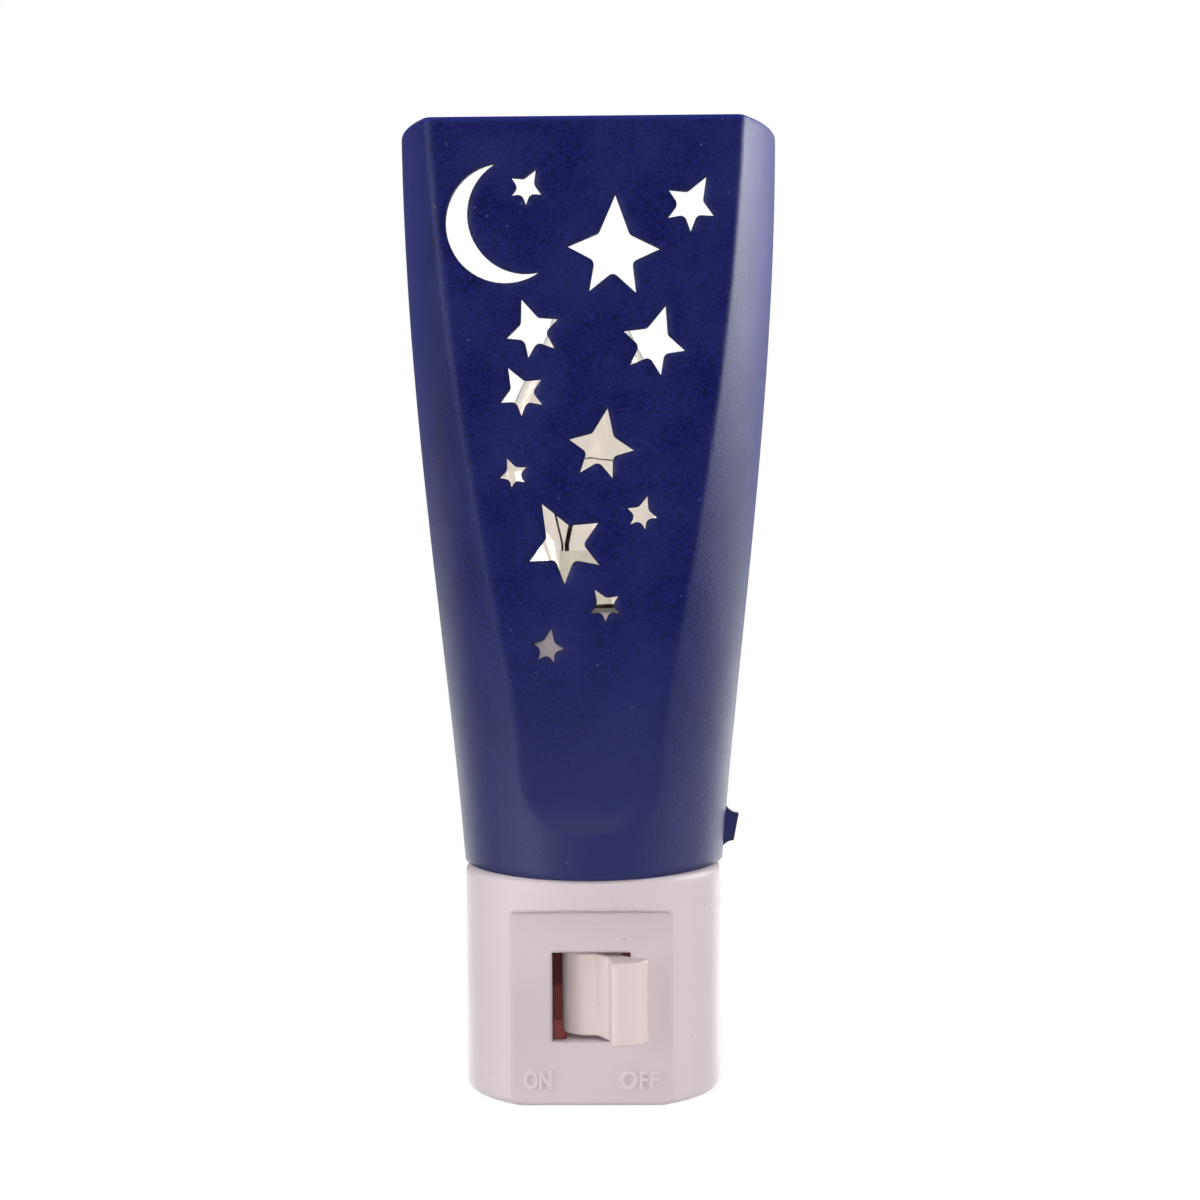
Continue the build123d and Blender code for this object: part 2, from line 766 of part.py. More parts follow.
# Glass stem with its flare at the neck and the flat press that holds the wires
with BuildPart() as bulb_stem:
    stem_foot = cap_top - neck_length
    with BuildSketch(side(0)):
        with BuildLine():
            Polyline(
                (0, stem_foot),
                (stem_flare_radius, stem_foot),
                (stem_radius, stem_foot + stem_flare_height),
                (stem_radius, stem_foot + stem_height),
                (0, stem_foot + stem_height),
                close=True,
            )
        make_face()
    revolve(axis=Axis((0, -axis_depth, 0), (0, 0, 1)))
    with BuildSketch(level(stem_foot + stem_height)):
        Rectangle(2 * press_half_width, press_thickness)
    extrude(amount=press_height)
    fillet(bulb_stem.edges().filter_by(Axis.Z), press_thickness / 4)


def wire_tip(shares, lift):
    """Place over the tip of a wire, in x and height."""
    return shares[1] * press_half_width, press_top + shares[2] * wire_height + lift


def stem_wire(shares, radius):
    """Wire that leaves the press straight and then leans to its tip."""
    foot_x = shares[0] * press_half_width
    with BuildLine(front(0)) as route:
        FilletPolyline(
            (foot_x, press_top),
            (foot_x, press_top + wire_root),
            wire_tip(shares, 0),
            radius=wire_bend,
        )
    with BuildSketch(Plane(route.line @ 0, z_dir=route.line % 0)) as section:
        Circle(radius)
    sweep(section.sketch, path=route.line)


with BuildPart() as lead_wires:
    for shares in lead_shares:
        stem_wire(shares, lead_radius)

with BuildPart() as support_wires:
    for shares in support_shares:
        stem_wire(shares, support_radius)

# Filament strung from one lead over both supports to the other lead
with BuildPart() as filament:
    hook = support_radius + filament_radius + seat_gap
    with BuildLine(front(0)) as filament_route:
        FilletPolyline(
            wire_tip(lead_shares[0], hook + lead_radius),
            wire_tip(support_shares[0], hook),
            (0, press_top + wire_height + 2 * lead_radius + hook),
            wire_tip(support_shares[1], hook),
            wire_tip(lead_shares[1], hook + lead_radius),
            radius=filament_radius * 2,
        )
    with BuildSketch(Plane(filament_route.line @ 0, z_dir=filament_route.line % 0)):
        Circle(filament_radius)
    sweep(path=filament_route.line)

# Hollow of the shade, run past its top, foot and open back
with BuildPart() as shade_hollow:
    for shares in section_shares:
        height, half_width, reach = section_size(shares, shade_wall)
        with BuildSketch(level(height)):
            bow_outline(half_width, reach, overrun)
    loft()
    extrude(shade_hollow.faces().sort_by(Axis.Z)[-1], amount=overrun)
    extrude(shade_hollow.faces().sort_by(Axis.Z)[0], amount=overrun)
    with BuildSketch(side(-crown_half_width - overrun)):
        scoop_cut(shade_wall)
    extrude(amount=2 * (crown_half_width + overrun), mode=Mode.SUBTRACT)

# Shade
with BuildPart() as shade:
    for shares in section_shares:
        height, half_width, reach = section_size(shares, 0)
        with BuildSketch(level(height)):
            bow_outline(half_width, reach, 0)
    loft()
    with BuildSketch(side(-crown_half_width - overrun)):
        scoop_cut(0)
    extrude(amount=2 * (crown_half_width + overrun), mode=Mode.SUBTRACT)
    facet = shade.faces().filter_by(GeomType.PLANE).sort_by(Axis.Y)[0]
    creases = facet.edges().sort_by(Axis.X)
    fillet([creases[0], creases[-1]], crease_round)
    rim = shade.faces().sort_by(Axis.Z)[-1].edges().sort_by(Axis.Y)[:-1]
    fillet(rim, rim_round)
    add(shade_hollow.part, mode=Mode.SUBTRACT)
    # finger tab at the back edge of the right side wall, hollowed above and below
    ear_foot = base_height + ear_rise
    ear_top = ear_foot + ear_height
    with BuildSketch(front(shade_rear)):
        with BuildLine():
            hollow = ear_flare + ear_inset
            upper = CenterArc((ear_half_width + ear_lean + ear_flare, ear_top), hollow, 180, 90)
            lower = CenterArc((ear_half_width - ear_lean + ear_flare, ear_foot), hollow, 90, 90)
            Line(upper @ 1, lower @ 0)
            ear_root = ear_half_width - shade_wall / 2
            Polyline(
                upper @ 0, (ear_root + ear_lean, ear_top), (ear_root - ear_lean, ear_foot), lower @ 1
            )
        make_face()
    extrude(amount=ear_thickness)
    # crescent and stars
    with BuildSketch(front(0)) as night_sky:
        for across, up, size, turn in star_shares:
            with Locations(share_place((across, up))):
                star = Polygon(*star_points(size * facet_half_width), rotation=-turn, align=None)
            corners = star.vertices().sort_by_distance((*share_place((across, up)), 0))
            fillet(corners[: len(star_corner_shares) // 2], star_round)
    with BuildSketch(front(0)) as crescent:
        with Locations(share_place(moon_share)):
            Circle(moon_share[2] * facet_half_width)
        with Locations(share_place(moon_bite_share)):
            Circle(moon_bite_share[2] * facet_half_width, mode=Mode.SUBTRACT)
    extrude(amount=crown_reach, mode=Mode.SUBTRACT)

pieces = {
    "front_housing": front_housing,
    "back_cover": back_cover,
    "case_screws": case_screws,
    "blade_line": blade_line,
    "blade_neutral": blade_neutral,
    "line_contact": line_contact,
    "lamp_contact": lamp_contact,
    "neutral_strip": neutral_strip,
    "socket_shell": socket_shell,
    "centre_contact": centre_contact,
    "strip_rivets": strip_rivets,
    "fibre_plate": fibre_plate,
    "switch_lever": switch_lever,
    "moving_contact": moving_contact,
    "cap_contact": cap_contact,
    "cap_insulator": cap_insulator,
    "bulb_cap": bulb_cap,
    "bulb_glass": bulb_glass,
    "bulb_stem": bulb_stem,
    "lead_wires": lead_wires,
    "support_wires": support_wires,
    "filament": filament,
    "shade": shade,
}
for name, piece in pieces.items():
    save(piece, name)
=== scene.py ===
# %% [markdown]
# # A plug-in night light
# A dark blue shade with a moon and stars cut through it slips over a small white base, which
# plugs straight into a wall socket. A candle lamp stands inside, and a lever in the front
# switches it. The solids come ready made, at their true size. This lesson gives them their
# finishes, adds the small forms that a solid model leaves out, and lights the result.

# %% Load the solids
from math import cos, pi, radians, sin

import bpy
from mathutils import Matrix, Vector


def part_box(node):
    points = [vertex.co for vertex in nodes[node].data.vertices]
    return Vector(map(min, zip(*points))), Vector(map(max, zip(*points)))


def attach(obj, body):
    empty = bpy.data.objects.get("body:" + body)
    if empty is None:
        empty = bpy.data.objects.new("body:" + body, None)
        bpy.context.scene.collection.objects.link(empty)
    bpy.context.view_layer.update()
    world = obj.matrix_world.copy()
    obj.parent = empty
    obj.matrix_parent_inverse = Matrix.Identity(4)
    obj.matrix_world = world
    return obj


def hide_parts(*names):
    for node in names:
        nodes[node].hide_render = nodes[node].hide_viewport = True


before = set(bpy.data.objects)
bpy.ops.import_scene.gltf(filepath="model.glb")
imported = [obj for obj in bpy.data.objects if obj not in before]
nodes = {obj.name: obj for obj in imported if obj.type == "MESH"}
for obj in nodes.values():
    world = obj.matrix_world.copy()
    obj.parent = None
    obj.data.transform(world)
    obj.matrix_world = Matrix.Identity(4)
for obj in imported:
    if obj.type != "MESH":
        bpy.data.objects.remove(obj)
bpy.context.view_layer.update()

MM = 0.001

# %% [markdown]
# ## Camera
# The light was photographed from the front, a little above its middle, from about a
# forearm's length away, so what is nearer looks larger. The camera stands on a circle round
# the lamp's axis and looks slightly down.

# %% Camera
image_width = 1200
focal_length = 2545
lamp_axis = Vector((0, -13.5, 0)) * MM
camera_distance = 300 * MM
camera_height = 54.3 * MM
camera_turn = radians(1.4)
look_down = radians(2.67)
look_aside = radians(-0.2)
roll = radians(-0.4)
near_limit = 10 * MM

bpy.ops.object.camera_add(
    location=(
        camera_distance * sin(camera_turn),
        lamp_axis.y - camera_distance * cos(camera_turn),
        camera_height,
    )
)
camera = bpy.context.object
turned = Matrix.Rotation(camera_turn + look_aside, 3, "Z")
tilted = turned @ Matrix.Rotation(pi / 2 - look_down, 3, "X")
camera.rotation_euler = (tilted @ Matrix.Rotation(roll, 3, "Z")).to_euler()
camera.data.lens = camera.data.sensor_width * focal_length / image_width
camera.data.clip_start = near_limit
bpy.context.scene.camera = camera
print(f"lens {camera.data.lens:.1f} mm, {camera_distance / MM:.0f} mm from the lamp")

# %% [markdown]
# ## Nodes as sums
# A finish is a small piece of arithmetic: grain times a strength, plus a shade of colour. The
# class below wraps an output socket, so that `1 - grain * 0.2` adds its Math nodes by itself.
# Every other node comes from the one method `node`.


# %% Sockets that can be added and multiplied
class Socket:
    """An output socket of a material, or the empty start of one."""

    def __init__(self, tree, output=None):
        self.tree = tree
        self.output = output

    def node(self, kind, settings, values, output=0):
        """Adds a node, sets it up, gives its inputs values or links, and returns an output."""
        made = self.tree.nodes.new(kind)
        for name, setting in settings.items():
            setattr(made, name, setting)
        for name, value in values.items():
            if isinstance(value, Socket):
                self.tree.links.new(value.output, made.inputs[name])
            else:
                made.inputs[name].default_value = value
        return Socket(self.tree, made.outputs[output] if made.outputs else None)

    def sum(self, operation, first, second):
        return self.node("ShaderNodeMath", {"operation": operation}, {0: first, 1: second})

    def __add__(self, other):
        return self.sum("ADD", self, other)

    def __sub__(self, other):
        return self.sum("SUBTRACT", self, other)

    def __rsub__(self, other):
        return self.sum("SUBTRACT", other, self)

    def __mul__(self, other):
        return self.sum("MULTIPLY", self, other)

    __radd__ = __add__
    __rmul__ = __mul__

    def ramp(self, low, high, first, last, **settings):
        """Goes from the first number to the last as this socket goes from low to high."""
        return self.node(
            "ShaderNodeMapRange", settings, {0: self, 1: low, 2: high, 3: first, 4: last}
        )

    def mix(self, first, second):
        """Goes from the first colour to the second as this socket goes from 0 to 1."""
        return self.node(
            "ShaderNodeMix", {"data_type": "RGBA"}, {"Factor": self, 6: first, 7: second}, 2
        )


def colour(red, green, blue):
    """A colour as it reads on a screen, from 0 to 255, as light for a shader."""
    shares = [x / 255 for x in (red, green, blue)]
    return [x / 12.92 if x < 0.04045 else ((x + 0.055) / 1.055) ** 2.4 for x in shares] + [1]


def new_material(name):
    """An empty material, and the start of its sums."""
    made = bpy.data.materials.new(name)
    made.use_nodes = True
    made.node_tree.nodes.clear()
    return made, Socket(made.node_tree)


def close_material(made, shader):
    """Leads the last shader to the material's output."""
    shader.node("ShaderNodeOutputMaterial", {}, {"Surface": shader})
    print("finish", made.name, "with", len(made.node_tree.nodes), "nodes")
    return made


print("a middle grey of 128 is", round(colour(128, 128, 128)[0], 3), "as light")

# %% [markdown]
# ## Stage
# The object hangs in front of plain white, as in a catalogue. The floor lies well below it,
# because the light lives on a wall, and the backdrop stands far behind. Both are pale. They
# show pure white to the camera and through glass, and a weaker white in reflections, so that
# the dark plastic isn't greyed all over by the room.

# %% Stage
white = (1, 1, 1, 1)
pale_grey = (0.8, 0.8, 0.8, 1)
reflected_share = 0.12
floor_level = -0.3
floor_front = 1.05
stage_size = 6.0


def bright_background(rays):
    """A number that is 1 for rays that look at the background and 0 for rays that light."""
    path = "ShaderNodeLightPath"
    camera_ray = rays.node(path, {}, {}, "Is Camera Ray")
    glossy_ray = rays.node(path, {}, {}, "Is Glossy Ray")
    clear_ray = rays.node(path, {}, {}, "Is Transmission Ray")
    return rays.sum("MINIMUM", camera_ray + glossy_ray * reflected_share + clear_ray, 1)


made, start = new_material("stage_white")
pale = start.node("ShaderNodeBsdfDiffuse", {}, {"Color": pale_grey})
glow = start.node("ShaderNodeEmission", {}, {"Color": white, "Strength": 1})
seen = bright_background(start)
stage_white = close_material(
    made, start.node("ShaderNodeMixShader", {}, {0: seen, 1: pale, 2: glow})
)

bpy.ops.object.select_all(action="DESELECT")
bpy.ops.mesh.primitive_plane_add(
    size=stage_size, location=(0, stage_size / 2 - floor_front, floor_level)
)
floor = bpy.context.object
floor.name = "floor"
bpy.ops.mesh.primitive_plane_add(
    size=stage_size,
    location=(0, stage_size / 2, floor_level + stage_size / 2),
    rotation=(pi / 2, 0, 0),
)
backdrop = bpy.context.object
backdrop.name = "backdrop"
for sheet in (floor, backdrop):
    sheet.data.materials.append(stage_white)
print("floor", floor_level, "m below the plug")

# %% [markdown]
# ## Light
# Three kinds of soft panel light the object. Panels at both sides and a small one just behind
# the camera give the plain light, and stay out of reflections, so that they show colour and
# no haze. The one by the camera also reaches what the camera sees through the stars and in
# the window. Two gloss panels do the opposite: they are seen only in reflections, and draw
# the pale bands along the creases of the shade. Two low rim panels behind and one above do
# both, and pick out the outer edges and the back.

# %% Light
light_aim = Vector((0, -13.5, 35)) * MM
behind_camera = camera.location * 1.1
sky_strength = 0.07

# Each row gives a name, a place, a width and a height in metres, and a power in watts.
plain_panels = (
    ("left_panel", (-0.62, -0.2, 0.12), 0.4, 0.4, 2.6),
    ("right_panel", (0.65, -0.1, 0.12), 0.4, 0.4, 2.7),
    ("front_panel", behind_camera, 0.02, 0.02, 0.58),
)
gloss_panels = (
    ("gloss_left", (-0.55, -0.25, 0.12), 0.2, 0.3, 1.3),
    ("gloss_right", (0.25, 0.11, 0.14), 0.1, 0.17, 1.1),
)
full_panels = (
    ("rim_left", (-0.28, 0.53, -0.17), 0.3, 0.3, 0.8),
    ("rim_right", (0.28, 0.53, -0.17), 0.3, 0.3, 1.05),
    ("top_panel", (-0.18, -0.28, 0.72), 0.35, 0.35, 1.0),
)


def panel(name, place, width, height, power):
    """A soft light that faces the object."""
    bpy.ops.object.light_add(type="AREA", location=place)
    lamp = bpy.context.object
    lamp.name = name
    lamp.data.shape = "RECTANGLE"
    lamp.data.size = width
    lamp.data.size_y = height
    lamp.data.energy = power
    lamp.visible_camera = False
    lamp.rotation_euler = (light_aim - lamp.location).to_track_quat("-Z", "Y").to_euler()
    return lamp


for row in plain_panels:
    panel(*row).visible_glossy = False
for row in gloss_panels:
    panel(*row).visible_diffuse = False
for row in full_panels:
    panel(*row)

world = bpy.data.worlds.new("studio")
world.use_nodes = True
world.node_tree.nodes.clear()
sky = Socket(world.node_tree)
soft = sky.node("ShaderNodeBackground", {}, {"Color": white, "Strength": sky_strength})
full = sky.node("ShaderNodeBackground", {}, {"Color": white, "Strength": 1})
around = sky.node("ShaderNodeMixShader", {}, {0: bright_background(sky), 1: soft, 2: full})
sky.node("ShaderNodeOutputWorld", {}, {"Surface": around})
bpy.context.scene.world = world
bpy.context.scene.view_settings.view_transform = "Standard"
print(len(plain_panels + gloss_panels + full_panels), "panels and a pale sky")

# %% [markdown]
# ## Moulded plastic
# The base and the lever are white plastic from a smooth mould, with a faint unevenness in the
# gloss and a few dark specks. The shade is dark blue, from a mould with a fine matt grain,
# which scatters the side light over its panels. Its colour holds painted light: it is painted
# paler towards the foot, and a brighter blue at the thin sides and rim, a painted glow of light
# through the plastic. Both start from the same three-dimensional noise in the object's own
# place, so no unwrapping is needed. Edges of a moulding are never quite
# sharp: a Bevel node rounds the way that light meets them.


# %% White plastic
def object_noise(start, scale, detail, rough):
    """Noise fixed to the piece, with a number of waves in a metre."""
    place = start.node("ShaderNodeTexCoord", {}, {}, "Object")
    return start.node(
        "ShaderNodeTexNoise",
        {},
        {"Vector": place, "Scale": scale, "Detail": detail, "Roughness": rough},
    )


def specks(start, scale, core, edge, strength):
    """Scattered round specks: the strength within the core, fading to 0 at the edge."""
    place = start.node("ShaderNodeTexCoord", {}, {}, "Object")
    cells = start.node(
        "ShaderNodeTexVoronoi",
        {"feature": "F1"},
        {"Vector": place, "Scale": scale, "Randomness": 1.0},
    )
    return cells.ramp(core, edge, strength, 0.0)


def surface_bump(start, height, distance, edge):
    """The normal of a surface with a small relief and softened edges."""
    soft_edge = start.node("ShaderNodeBevel", {"samples": 6}, {"Radius": edge})
    return start.node(
        "ShaderNodeBump",
        {},
        {"Height": height, "Strength": 1.0, "Distance": distance, "Normal": soft_edge},
    )


white_relief = 0.02 * MM
cloud_depth = 7


def white_plastic(name, base, speck, shine, edge):
    """White plastic with soft clouds, dark specks and edges rounded by a radius."""
    made, start = new_material(name)
    cloud = object_noise(start, 90, 3, 0.5)
    fine = object_noise(start, 2600, 2, 0.5)
    spot = specks(start, 420, 0.03, 0.07, 0.5)
    tint = cloud.mix(colour(*base), colour(*[x - cloud_depth for x in base]))
    shader = start.node(
        "ShaderNodeBsdfPrincipled",
        {},
        {
            "Base Color": spot.mix(tint, colour(*speck)),
            "Roughness": shine + cloud * 0.12,
            "Normal": surface_bump(start, fine * 0.6 + cloud * 0.4, white_relief, edge),
            "IOR": 1.5,
            "Specular IOR Level": 0.2,
        },
    )
    return close_material(made, shader)


housing_white = white_plastic("housing_white", (214, 202, 206), (120, 100, 95), 0.38, 0.8 * MM)
lever_white = white_plastic("lever_white", (224, 208, 207), (150, 130, 125), 0.34, 0.2 * MM)
word_white = white_plastic("word_white", (222, 212, 215), (220, 210, 208), 0.32, 0.03 * MM)

# %% Dark blue plastic
# Between these heights the shade is painted paler towards its foot: painted light.
foot_light_top, foot_light_low = 45 * MM, 11 * MM
# Beyond this reach from the middle, the thin sides are painted a brighter blue: a painted glow.
side_glow_from, side_glow_to = 17 * MM, 20 * MM
# Between these heights the top rim is painted a brighter blue: a painted glow.
rim_glow_from, rim_glow_to = 93.9 * MM, 94.5 * MM
grain_relief = 0.05 * MM
crease_round = 1.4 * MM

made, start = new_material("shade_blue")
grain = object_noise(start, 3300, 3, 0.65)
cloud = object_noise(start, 60, 2, 0.5)
sink = object_noise(start, 110, 5, 0.6)
place = start.node("ShaderNodeTexCoord", {}, {}, "Object")
height = start.node("ShaderNodeSeparateXYZ", {}, {"Vector": place}, "Z")
across = start.node("ShaderNodeSeparateXYZ", {}, {"Vector": place}, "X")
aside = start.sum("ABSOLUTE", across, 0)

# Painted light: the shade grows paler towards its foot.
painted_foot_light = height.ramp(foot_light_top, foot_light_low, 0.0, 0.8, interpolation_type="SMOOTHSTEP")
# Painted glow of light through the thin sides of the shade.
painted_side_glow = aside.ramp(side_glow_from, side_glow_to, 0.0, 0.8) * (1 - painted_foot_light)
mottle = sink.ramp(0.42, 0.72, 0.0, 0.6)
pebble = grain.ramp(0.38, 0.64, 0.0, 1.0)
fleck = specks(start, 330, 0.02, 0.06, 0.3)
# Painted glow along the top rim of the shade.
painted_rim_glow = height.ramp(rim_glow_from, rim_glow_to, 0.0, 0.8)

tint = mottle.mix(pebble.mix(colour(0, 1, 54), colour(20, 27, 100)), colour(38, 43, 102))
# Painted light: paler towards the foot, then the painted glow of the thin sides.
tint = painted_side_glow.mix(painted_foot_light.mix(tint, colour(46, 49, 96)), colour(0, 15, 112))
tint = painted_rim_glow.mix(tint, colour(22, 40, 138))
tint = fleck.mix(tint, colour(128, 132, 172))
shader = start.node(
    "ShaderNodeBsdfPrincipled",
    {},
    {
        "Base Color": tint,
        "Roughness": 0.44 + cloud * 0.08,
        "Normal": surface_bump(start, grain + cloud * 3.0, grain_relief, crease_round),
        "IOR": 1.5,
        "Specular IOR Level": 0.36,
    },
)
shade_blue = close_material(made, shader)

# %% [markdown]
# ## Metals
# The blades and the screw shell are brass, the contact strips a redder bronze, the lamp's cap
# is nickel-plated and the case screws are zinc-plated steel. A metal shows its finish through
# the way its roughness changes: long fine scratches where it was drawn, soft clouds where it
# was plated or handled. The scratches are noise stretched along one direction.


# %% Metal finishes
scratch_relief = 0.008 * MM
metal_edge = 0.15 * MM


def metal(name, bright, dull, polish, rough, stretch):
    """A worn metal, bare at polish 1 and all tarnish at 0, scratched along small stretches."""
    made, start = new_material(name)
    place = start.node("ShaderNodeTexCoord", {}, {}, "Object")
    drawn = start.node("ShaderNodeMapping", {}, {"Vector": place, "Scale": stretch})
    scratch = start.node("ShaderNodeTexNoise", {}, {"Vector": drawn, "Scale": 900, "Detail": 4})
    cloud = object_noise(start, 160, 3, 0.6)
    shader = start.node(
        "ShaderNodeBsdfPrincipled",
        {},
        {
            "Base Color": cloud.mix(colour(*bright), colour(*dull)),
            "Metallic": polish - cloud * 0.1,
            "Roughness": rough + scratch * 0.18 + cloud * 0.1,
            "Normal": surface_bump(start, scratch, scratch_relief, metal_edge),
        },
    )
    return close_material(made, shader)


blade_brass = metal("blade_brass", (226, 190, 122), (196, 156, 92), 1.0, 0.16, (1, 0.06, 1))
shell_brass = metal("shell_brass", (222, 184, 112), (190, 150, 88), 0.95, 0.2, (0.2, 0.2, 1))
strip_bronze = metal("strip_bronze", (146, 76, 74), (112, 56, 56), 0.25, 0.26, (1, 1, 0.08))
screw_zinc = metal("screw_zinc", (205, 205, 200), (165, 166, 164), 1.0, 0.26, (1, 1, 1))
cap_nickel = metal("cap_nickel", (214, 208, 196), (180, 174, 164), 0.6, 0.2, (0.2, 0.2, 1))
tip_solder = metal("tip_solder", (196, 196, 198), (150, 150, 154), 0.9, 0.34, (1, 1, 1))
lead_nickel = metal("lead_nickel", (120, 112, 104), (82, 76, 70), 0.8, 0.3, (1, 1, 0.1))
filament_grey = metal("filament_grey", (110, 108, 106), (72, 70, 70), 0.8, 0.4, (1, 1, 1))

# %% [markdown]
# ## Fibre, black glass and clear glass
# The plate behind the lever is red vulcanised fibre, as in old switches: dull, with a felted
# grain. Its upper half, deep in the window, is painted darker as a painted shadow. The ring
# round the lamp's tip is black glass. The lamp itself is clear, so it shows mostly at its limb,
# and the stem inside it is a slightly greener, thicker glass.

# %% Fibre
# Between these heights the plate is painted darker above: a painted shadow inside the window.
shadow_from, shadow_to = -6 * MM, -4.5 * MM
felt_relief = 0.05 * MM
fibre_edge = 0.1 * MM

made, start = new_material("red_fibre")
felt = object_noise(start, 1500, 5, 0.7)
place = start.node("ShaderNodeTexCoord", {}, {}, "Object")
height = start.node("ShaderNodeSeparateXYZ", {}, {"Vector": place}, "Z")
# Painted shadow: the upper half of the plate is darker.
painted_shadow = height.ramp(shadow_from, shadow_to, 0.0, 1.0)
lit_red = felt.mix(colour(140, 69, 70), colour(168, 94, 92))
shadowed_red = felt.mix(colour(70, 32, 35), colour(98, 52, 53))
shader = start.node(
    "ShaderNodeBsdfPrincipled",
    {},
    {
        "Base Color": painted_shadow.mix(lit_red, shadowed_red),
        "Roughness": 0.6 + felt * 0.25,
        "Normal": surface_bump(start, felt, felt_relief, fibre_edge),
    },
)
red_fibre = close_material(made, shader)

# %% Black glass
made, start = new_material("black_glass")
streak = object_noise(start, 700, 3, 0.5)
shader = start.node(
    "ShaderNodeBsdfPrincipled",
    {},
    {
        "Base Color": streak.mix(colour(18, 17, 20), colour(38, 36, 40)),
        "Roughness": 0.12 + streak * 0.1,
    },
)
black_glass = close_material(made, shader)


# %% Clear glass
def glass(name, tint, shade, rough):
    """Clear glass that goes from a tint to a shade of it in slow waves."""
    made, start = new_material(name)
    flow = object_noise(start, 120, 2, 0.5)
    shader = start.node(
        "ShaderNodeBsdfPrincipled",
        {},
        {
            "Base Color": flow.mix(colour(*tint), colour(*shade)),
            "Roughness": flow * rough,
            "Transmission Weight": 1.0,
            "IOR": 1.47,
        },
    )
    return close_material(made, shader)


clear_glass = glass("clear_glass", (247, 242, 236), (241, 235, 227), 0.03)
stem_glass = glass("stem_glass", (238, 240, 232), (226, 230, 220), 0.08)

# %% [markdown]
# ## Words beside the switch
# The two places of the lever are marked by small raised capitals in the moulding itself. Text
# is the natural start: it becomes a mesh, is stretched to the room that the words take on the
# panel, turned upright and sunk a hair into the surface so that no gap shows behind it.

# %% Raised words
panel_face = -25.3 * MM
word_foot = -15.1 * MM
word_top = -13.0 * MM
word_relief = 0.25 * MM
word_sink = 0.1 * MM
letter_depth = 0.05
letter_weight = 0.012
letter_round = 0.012


def raised_word(name, word, left, right):
    """A word that stands out of the panel between two places across it."""
    bpy.ops.object.select_all(action="DESELECT")
    bpy.ops.object.text_add()
    letters = bpy.context.object.data
    letters.body = word
    letters.extrude = letter_depth
    letters.offset = letter_weight
    letters.bevel_depth = letter_round
    bpy.ops.object.convert(target="MESH")
    piece = bpy.context.object
    piece.name = name
    corners = [Vector(corner) for corner in piece.bound_box]
    low, high = corners[0], corners[6]
    size = high - low
    piece.scale = (
        (right - left) / size.x,
        (word_top - word_foot) / size.y,
        (word_relief + word_sink) / size.z,
    )
    piece.rotation_euler = (pi / 2, 0, 0)
    piece.location = (
        left - low.x * piece.scale.x,
        panel_face - word_relief + high.z * piece.scale.z,
        word_foot - low.y * piece.scale.y,
    )
    bpy.ops.object.transform_apply(location=True, rotation=True, scale=True)
    piece.data.materials.clear()
    piece.data.materials.append(word_white)
    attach(piece, "base")
    print(name, [round(x / MM, 2) for x in piece.dimensions], "mm")


raised_word("word_on", "ON", -7.8 * MM, -4.65 * MM)
raised_word("word_off", "OFF", 3.2 * MM, 7.7 * MM)

# %% [markdown]
# ## Case screws
# Two screws close the back of the base. Seen from behind they show a rounded head with a
# cross recess. A cylinder is bevelled into the head, drawn out into the shank, and two crossed
# boxes are cut out of it. The finished screw is then copied to the other side.

# %% Screws
screw_low, screw_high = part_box("case_screws")
head_radius = (screw_high.z - screw_low.z) / 2
shank_radius = 1.05 * MM
head_height = 1.1 * MM
screw_side = (screw_high.x - screw_low.x) / 2 - head_radius
screw_rise = (screw_high.z + screw_low.z) / 2
head_sides = 48
head_round = 0.55 * MM
round_steps = 5
facing = 0.9
recess_length = 1.25 * head_radius
recess_width = 0.7 * MM
recess_depth = 0.7 * MM
recess_turn = pi / 5


def select_faces(piece, wanted):
    """Selects the faces for which wanted(face) is true, with the piece in edit mode after."""
    bpy.ops.object.mode_set(mode="OBJECT")
    for edge in piece.data.edges:
        edge.select = False
    for vertex in piece.data.vertices:
        vertex.select = False
    for face in piece.data.polygons:
        face.select = wanted(face)
    bpy.ops.object.mode_set(mode="EDIT")
    bpy.ops.mesh.select_mode(type="FACE")


head_seat = screw_high.y - head_height
bpy.ops.object.select_all(action="DESELECT")
bpy.ops.mesh.primitive_cylinder_add(
    vertices=head_sides,
    radius=head_radius,
    depth=head_height,
    location=(-screw_side, head_seat + head_height / 2, screw_rise),
    rotation=(pi / 2, 0, 0),
)
screw = bpy.context.object
screw.name = "case_screw_left"
bpy.ops.object.transform_apply(location=True, rotation=True, scale=True)
select_faces(screw, lambda face: face.normal.y > facing)
bpy.ops.mesh.bevel(offset=head_round, segments=round_steps, affect="EDGES")
select_faces(screw, lambda face: face.normal.y < -facing)
bpy.ops.mesh.inset(thickness=head_radius - shank_radius)
bpy.ops.mesh.extrude_region_move(
    TRANSFORM_OT_translate={"value": (0, screw_low.y - head_seat, 0)}
)
bpy.ops.object.mode_set(mode="OBJECT")
for turn in (0, pi / 2):
    bpy.ops.mesh.primitive_cube_add(
        size=1,
        location=(-screw_side, screw_high.y, screw_rise),
        rotation=(0, turn + recess_turn, 0),
    )
    cutter = bpy.context.object
    cutter.scale = (recess_length, 2 * recess_depth, recess_width)
    bpy.context.view_layer.objects.active = screw
    cut = screw.modifiers.new("recess", "BOOLEAN")
    cut.object = cutter
    cut.operation = "DIFFERENCE"
    bpy.ops.object.modifier_apply(modifier=cut.name)
    bpy.data.objects.remove(cutter)
screw.data.materials.append(screw_zinc)
print(screw.name, len(screw.data.polygons), "faces")

